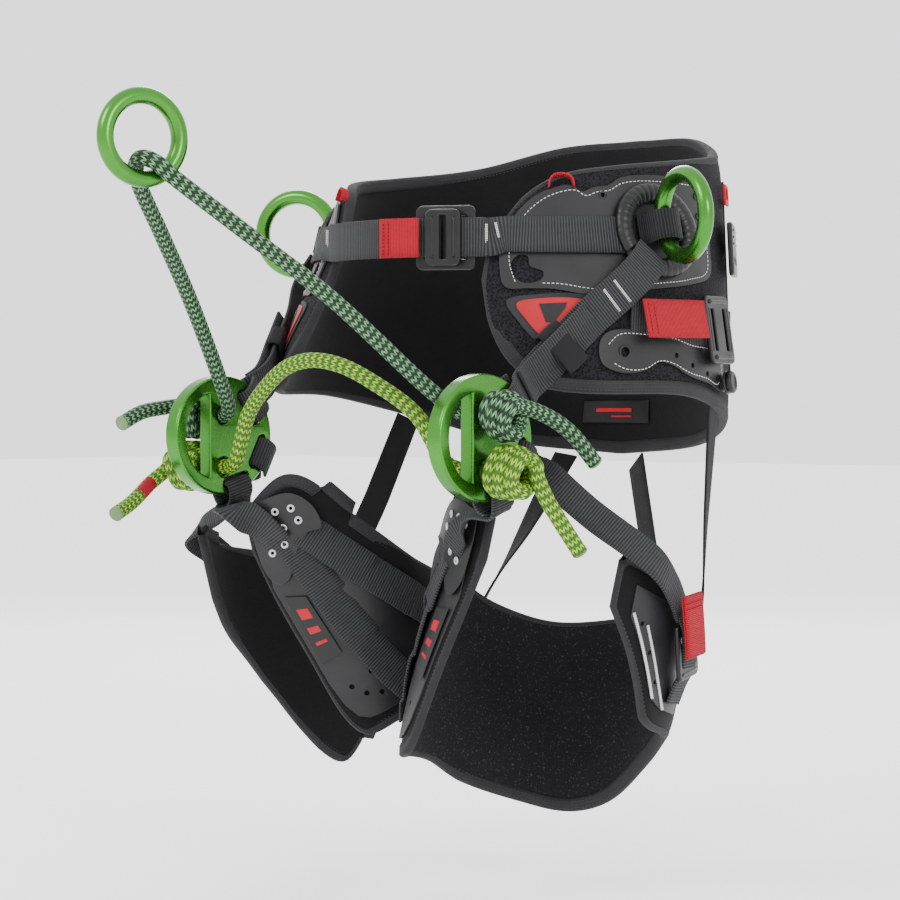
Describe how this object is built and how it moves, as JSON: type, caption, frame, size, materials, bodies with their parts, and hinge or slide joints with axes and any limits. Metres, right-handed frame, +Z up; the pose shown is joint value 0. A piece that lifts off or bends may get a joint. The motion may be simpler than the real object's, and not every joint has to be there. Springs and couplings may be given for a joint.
{
  "type": "tree climbing saddle",
  "caption": "Padded climbing belt with two leg loops, hip rings, forged bridge rings and a rope bridge carrying a free ring.",
  "frame": {"origin": "middle of the wearer's waist, level with the waist strap", "axes": "+Z up, the wearer faces -Y, +X is the wearer's left"},
  "size_m": [0.451, 0.5898, 0.509],
  "materials": {
    "padding": "knitted mesh",
    "laminate": "satin coated",
    "black_plastic": "moulded",
    "red_webbing": "woven",
    "grey_webbing": "ribbed weave",
    "green_aluminium": "anodised",
    "dark_rope": "braided",
    "lime_rope": "braided",
    "elastic": "woven"
  },
  "bodies": {
    "belt": {"hip_pad": "padding", "back_plate": "laminate", "rear_gear_panel": "black_plastic", "waist_buckle_frame": "black_plastic", "left_wing_plate": "laminate", "left_ring_housing": "black_plastic", "left_ring_band": "grey_webbing", "left_waist_strap": "grey_webbing", "left_side_strap": "grey_webbing", "left_side_adjuster_strap": "grey_webbing", "left_side_buckle": "black_plastic", "left_strap_keeper": "laminate", "left_gear_holder": "black_plastic", "left_rear_accessory_loop": "red_webbing", "left_bridge_ring": "green_aluminium", "left_front_leg_strap": "grey_webbing", "left_outer_leg_strap": "grey_webbing", "left_inner_riser": "elastic", "left_outer_riser": "elastic", "right_wing_plate": "laminate", "right_ring_housing": "black_plastic", "right_ring_band": "grey_webbing", "right_waist_strap": "grey_webbing", "right_side_strap": "grey_webbing", "right_side_adjuster_strap": "grey_webbing", "right_side_buckle": "black_plastic", "right_strap_keeper": "laminate", "right_gear_holder": "black_plastic", "right_rear_accessory_loop": "red_webbing", "right_bridge_ring": "green_aluminium", "right_front_leg_strap": "grey_webbing", "right_outer_leg_strap": "grey_webbing", "right_inner_riser": "elastic", "right_outer_riser": "elastic"},
    "left_hip_ring": {"left_hip_ring": "green_aluminium"},
    "left_leg_loop": {"left_leg_pad": "padding", "left_leg_plate": "laminate", "left_leg_side_plate": "laminate", "left_leg_buckle": "black_plastic"},
    "left_leg_tab": {"left_leg_pull_tab": "red_webbing"},
    "left_side_tab": {"left_side_pull_tab": "red_webbing"},
    "left_cord_lock": {"left_cord_lock": "black_plastic"},
    "right_hip_ring": {"right_hip_ring": "green_aluminium"},
    "right_leg_loop": {"right_leg_pad": "padding", "right_leg_plate": "laminate", "right_leg_side_plate": "laminate", "right_leg_buckle": "black_plastic"},
    "right_leg_tab": {"right_leg_pull_tab": "red_webbing"},
    "right_side_tab": {"right_side_pull_tab": "red_webbing"},
    "right_cord_lock": {"right_cord_lock": "black_plastic"},
    "waist_tab": {"waist_pull_tab": "red_webbing"},
    "waist_slider": {"waist_buckle_slider": "black_plastic"},
    "dark_bridge": {"dark_bridge_rope": "dark_rope", "left_dark_knot": "dark_rope", "right_dark_knot": "dark_rope"},
    "lime_bridge": {"lime_bridge_rope": "lime_rope", "left_lime_knot": "lime_rope", "right_lime_knot": "lime_rope"},
    "centre_ring": {"centre_ring": "green_aluminium"}
  },
  "joints": [
    {"name": "left_hip_ring_flap", "type": "hinge", "parent": "belt", "child": "left_hip_ring", "pos_m": [0.16107, -0.01893, 0.00793], "axis": [-0.2451, 0.0703, 0.967], "range_deg": [-12, 50]},
    {"name": "left_leg_swing", "type": "hinge", "parent": "belt", "child": "left_leg_loop", "pos_m": [0.115, -0.15, -0.19], "axis": [1, 0, 0], "range_deg": [-8, 30], "deforming": ["left_front_leg_strap", "left_outer_leg_strap", "left_inner_riser", "left_outer_riser"]},
    {"name": "left_leg_tab_lift", "type": "hinge", "parent": "left_leg_loop", "child": "left_leg_tab", "pos_m": [0.22357, -0.07505, -0.25207], "axis": [-0.1483, -0.9889, 0], "range_deg": [0, 60]},
    {"name": "left_side_tab_lift", "type": "hinge", "parent": "belt", "child": "left_side_tab", "pos_m": [0.18152, 0.00472, -0.05738], "axis": [-0.2306, 0.0437, 0.9721], "range_deg": [0, 60]},
    {"name": "left_cord_lock_press", "type": "slide", "parent": "belt", "child": "left_cord_lock", "axis": [-0.9491, -0.2935, -0.1147], "range_m": [0, 0.002]},
    {"name": "right_hip_ring_flap", "type": "hinge", "parent": "belt", "child": "right_hip_ring", "pos_m": [-0.16107, -0.01893, 0.00793], "axis": [-0.2451, -0.0703, -0.967], "range_deg": [-12, 50]},
    {"name": "right_leg_swing", "type": "hinge", "parent": "belt", "child": "right_leg_loop", "pos_m": [-0.115, -0.15, -0.19], "axis": [1, 0, 0], "range_deg": [-8, 30], "deforming": ["right_front_leg_strap", "right_outer_leg_strap", "right_inner_riser", "right_outer_riser"]},
    {"name": "right_leg_tab_lift", "type": "hinge", "parent": "right_leg_loop", "child": "right_leg_tab", "pos_m": [-0.2235, -0.07291, -0.23696], "axis": [-0.1483, 0.9889, 0], "range_deg": [0, 60]},
    {"name": "right_side_tab_lift", "type": "hinge", "parent": "belt", "child": "right_side_tab", "pos_m": [-0.18169, 0.00464, -0.05813], "axis": [-0.2306, -0.0437, -0.9721], "range_deg": [0, 60]},
    {"name": "right_cord_lock_press", "type": "slide", "parent": "belt", "child": "right_cord_lock", "axis": [0.9491, -0.2935, -0.1147], "range_m": [0, 0.002]},
    {"name": "waist_tab_lift", "type": "hinge", "parent": "belt", "child": "waist_tab", "pos_m": [0.03466, -0.14186, 0.00026], "axis": [0, 0, 1], "range_deg": [0, 60]},
    {"name": "waist_slider_tilt", "type": "hinge", "parent": "belt", "child": "waist_slider", "pos_m": [0.0628, -0.12924, -0.00216], "axis": [0, 0, 1], "range_deg": [0, 25]},
    {"name": "dark_bridge_swing", "type": "hinge", "parent": "belt", "child": "dark_bridge", "pos_m": [0, -0.183, -0.127], "axis": [1, 0, 0], "range_deg": [-30, 15]},
    {"name": "lime_bridge_swing", "type": "hinge", "parent": "belt", "child": "lime_bridge", "pos_m": [0, -0.183, -0.165], "axis": [1, 0, 0], "range_deg": [-10, 45]},
    {"name": "centre_ring_swivel", "type": "hinge", "parent": "dark_bridge", "child": "centre_ring", "pos_m": [0, -0.38, 0.0475], "axis": [0.9613, -0.2756, 0], "range_deg": [-30, 30]}
  ]
}
